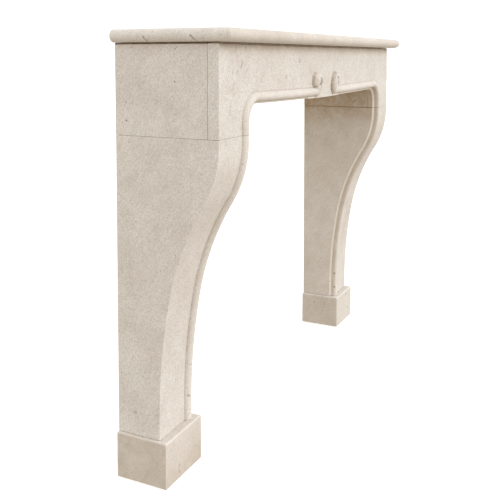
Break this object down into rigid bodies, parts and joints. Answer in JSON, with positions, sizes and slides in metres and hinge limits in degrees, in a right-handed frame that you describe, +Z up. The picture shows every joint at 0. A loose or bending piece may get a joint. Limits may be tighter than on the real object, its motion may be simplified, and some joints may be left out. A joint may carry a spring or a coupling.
{
  "type": "fireplace mantel",
  "caption": "Carved limestone fireplace mantel with S-curved legs on plinths, a moulded opening with two scrolls, and a shelf with a rounded nose.",
  "frame": {"origin": "on the floor, under the middle of the whole mantel", "axes": "+X along the shelf to the right as seen from the room, +Y from the room towards the wall, +Z up"},
  "size_m": [1.404, 0.326, 1.1],
  "materials": {
    "limestone": "honed pale cream limestone with fine pits and flecks"
  },
  "bodies": {
    "root": {"shelf": "limestone", "lintel": "limestone", "return_left": "limestone", "return_right": "limestone", "leg_left": "limestone", "leg_right": "limestone", "plinth_left": "limestone", "plinth_right": "limestone"}
  },
  "joints": []
}
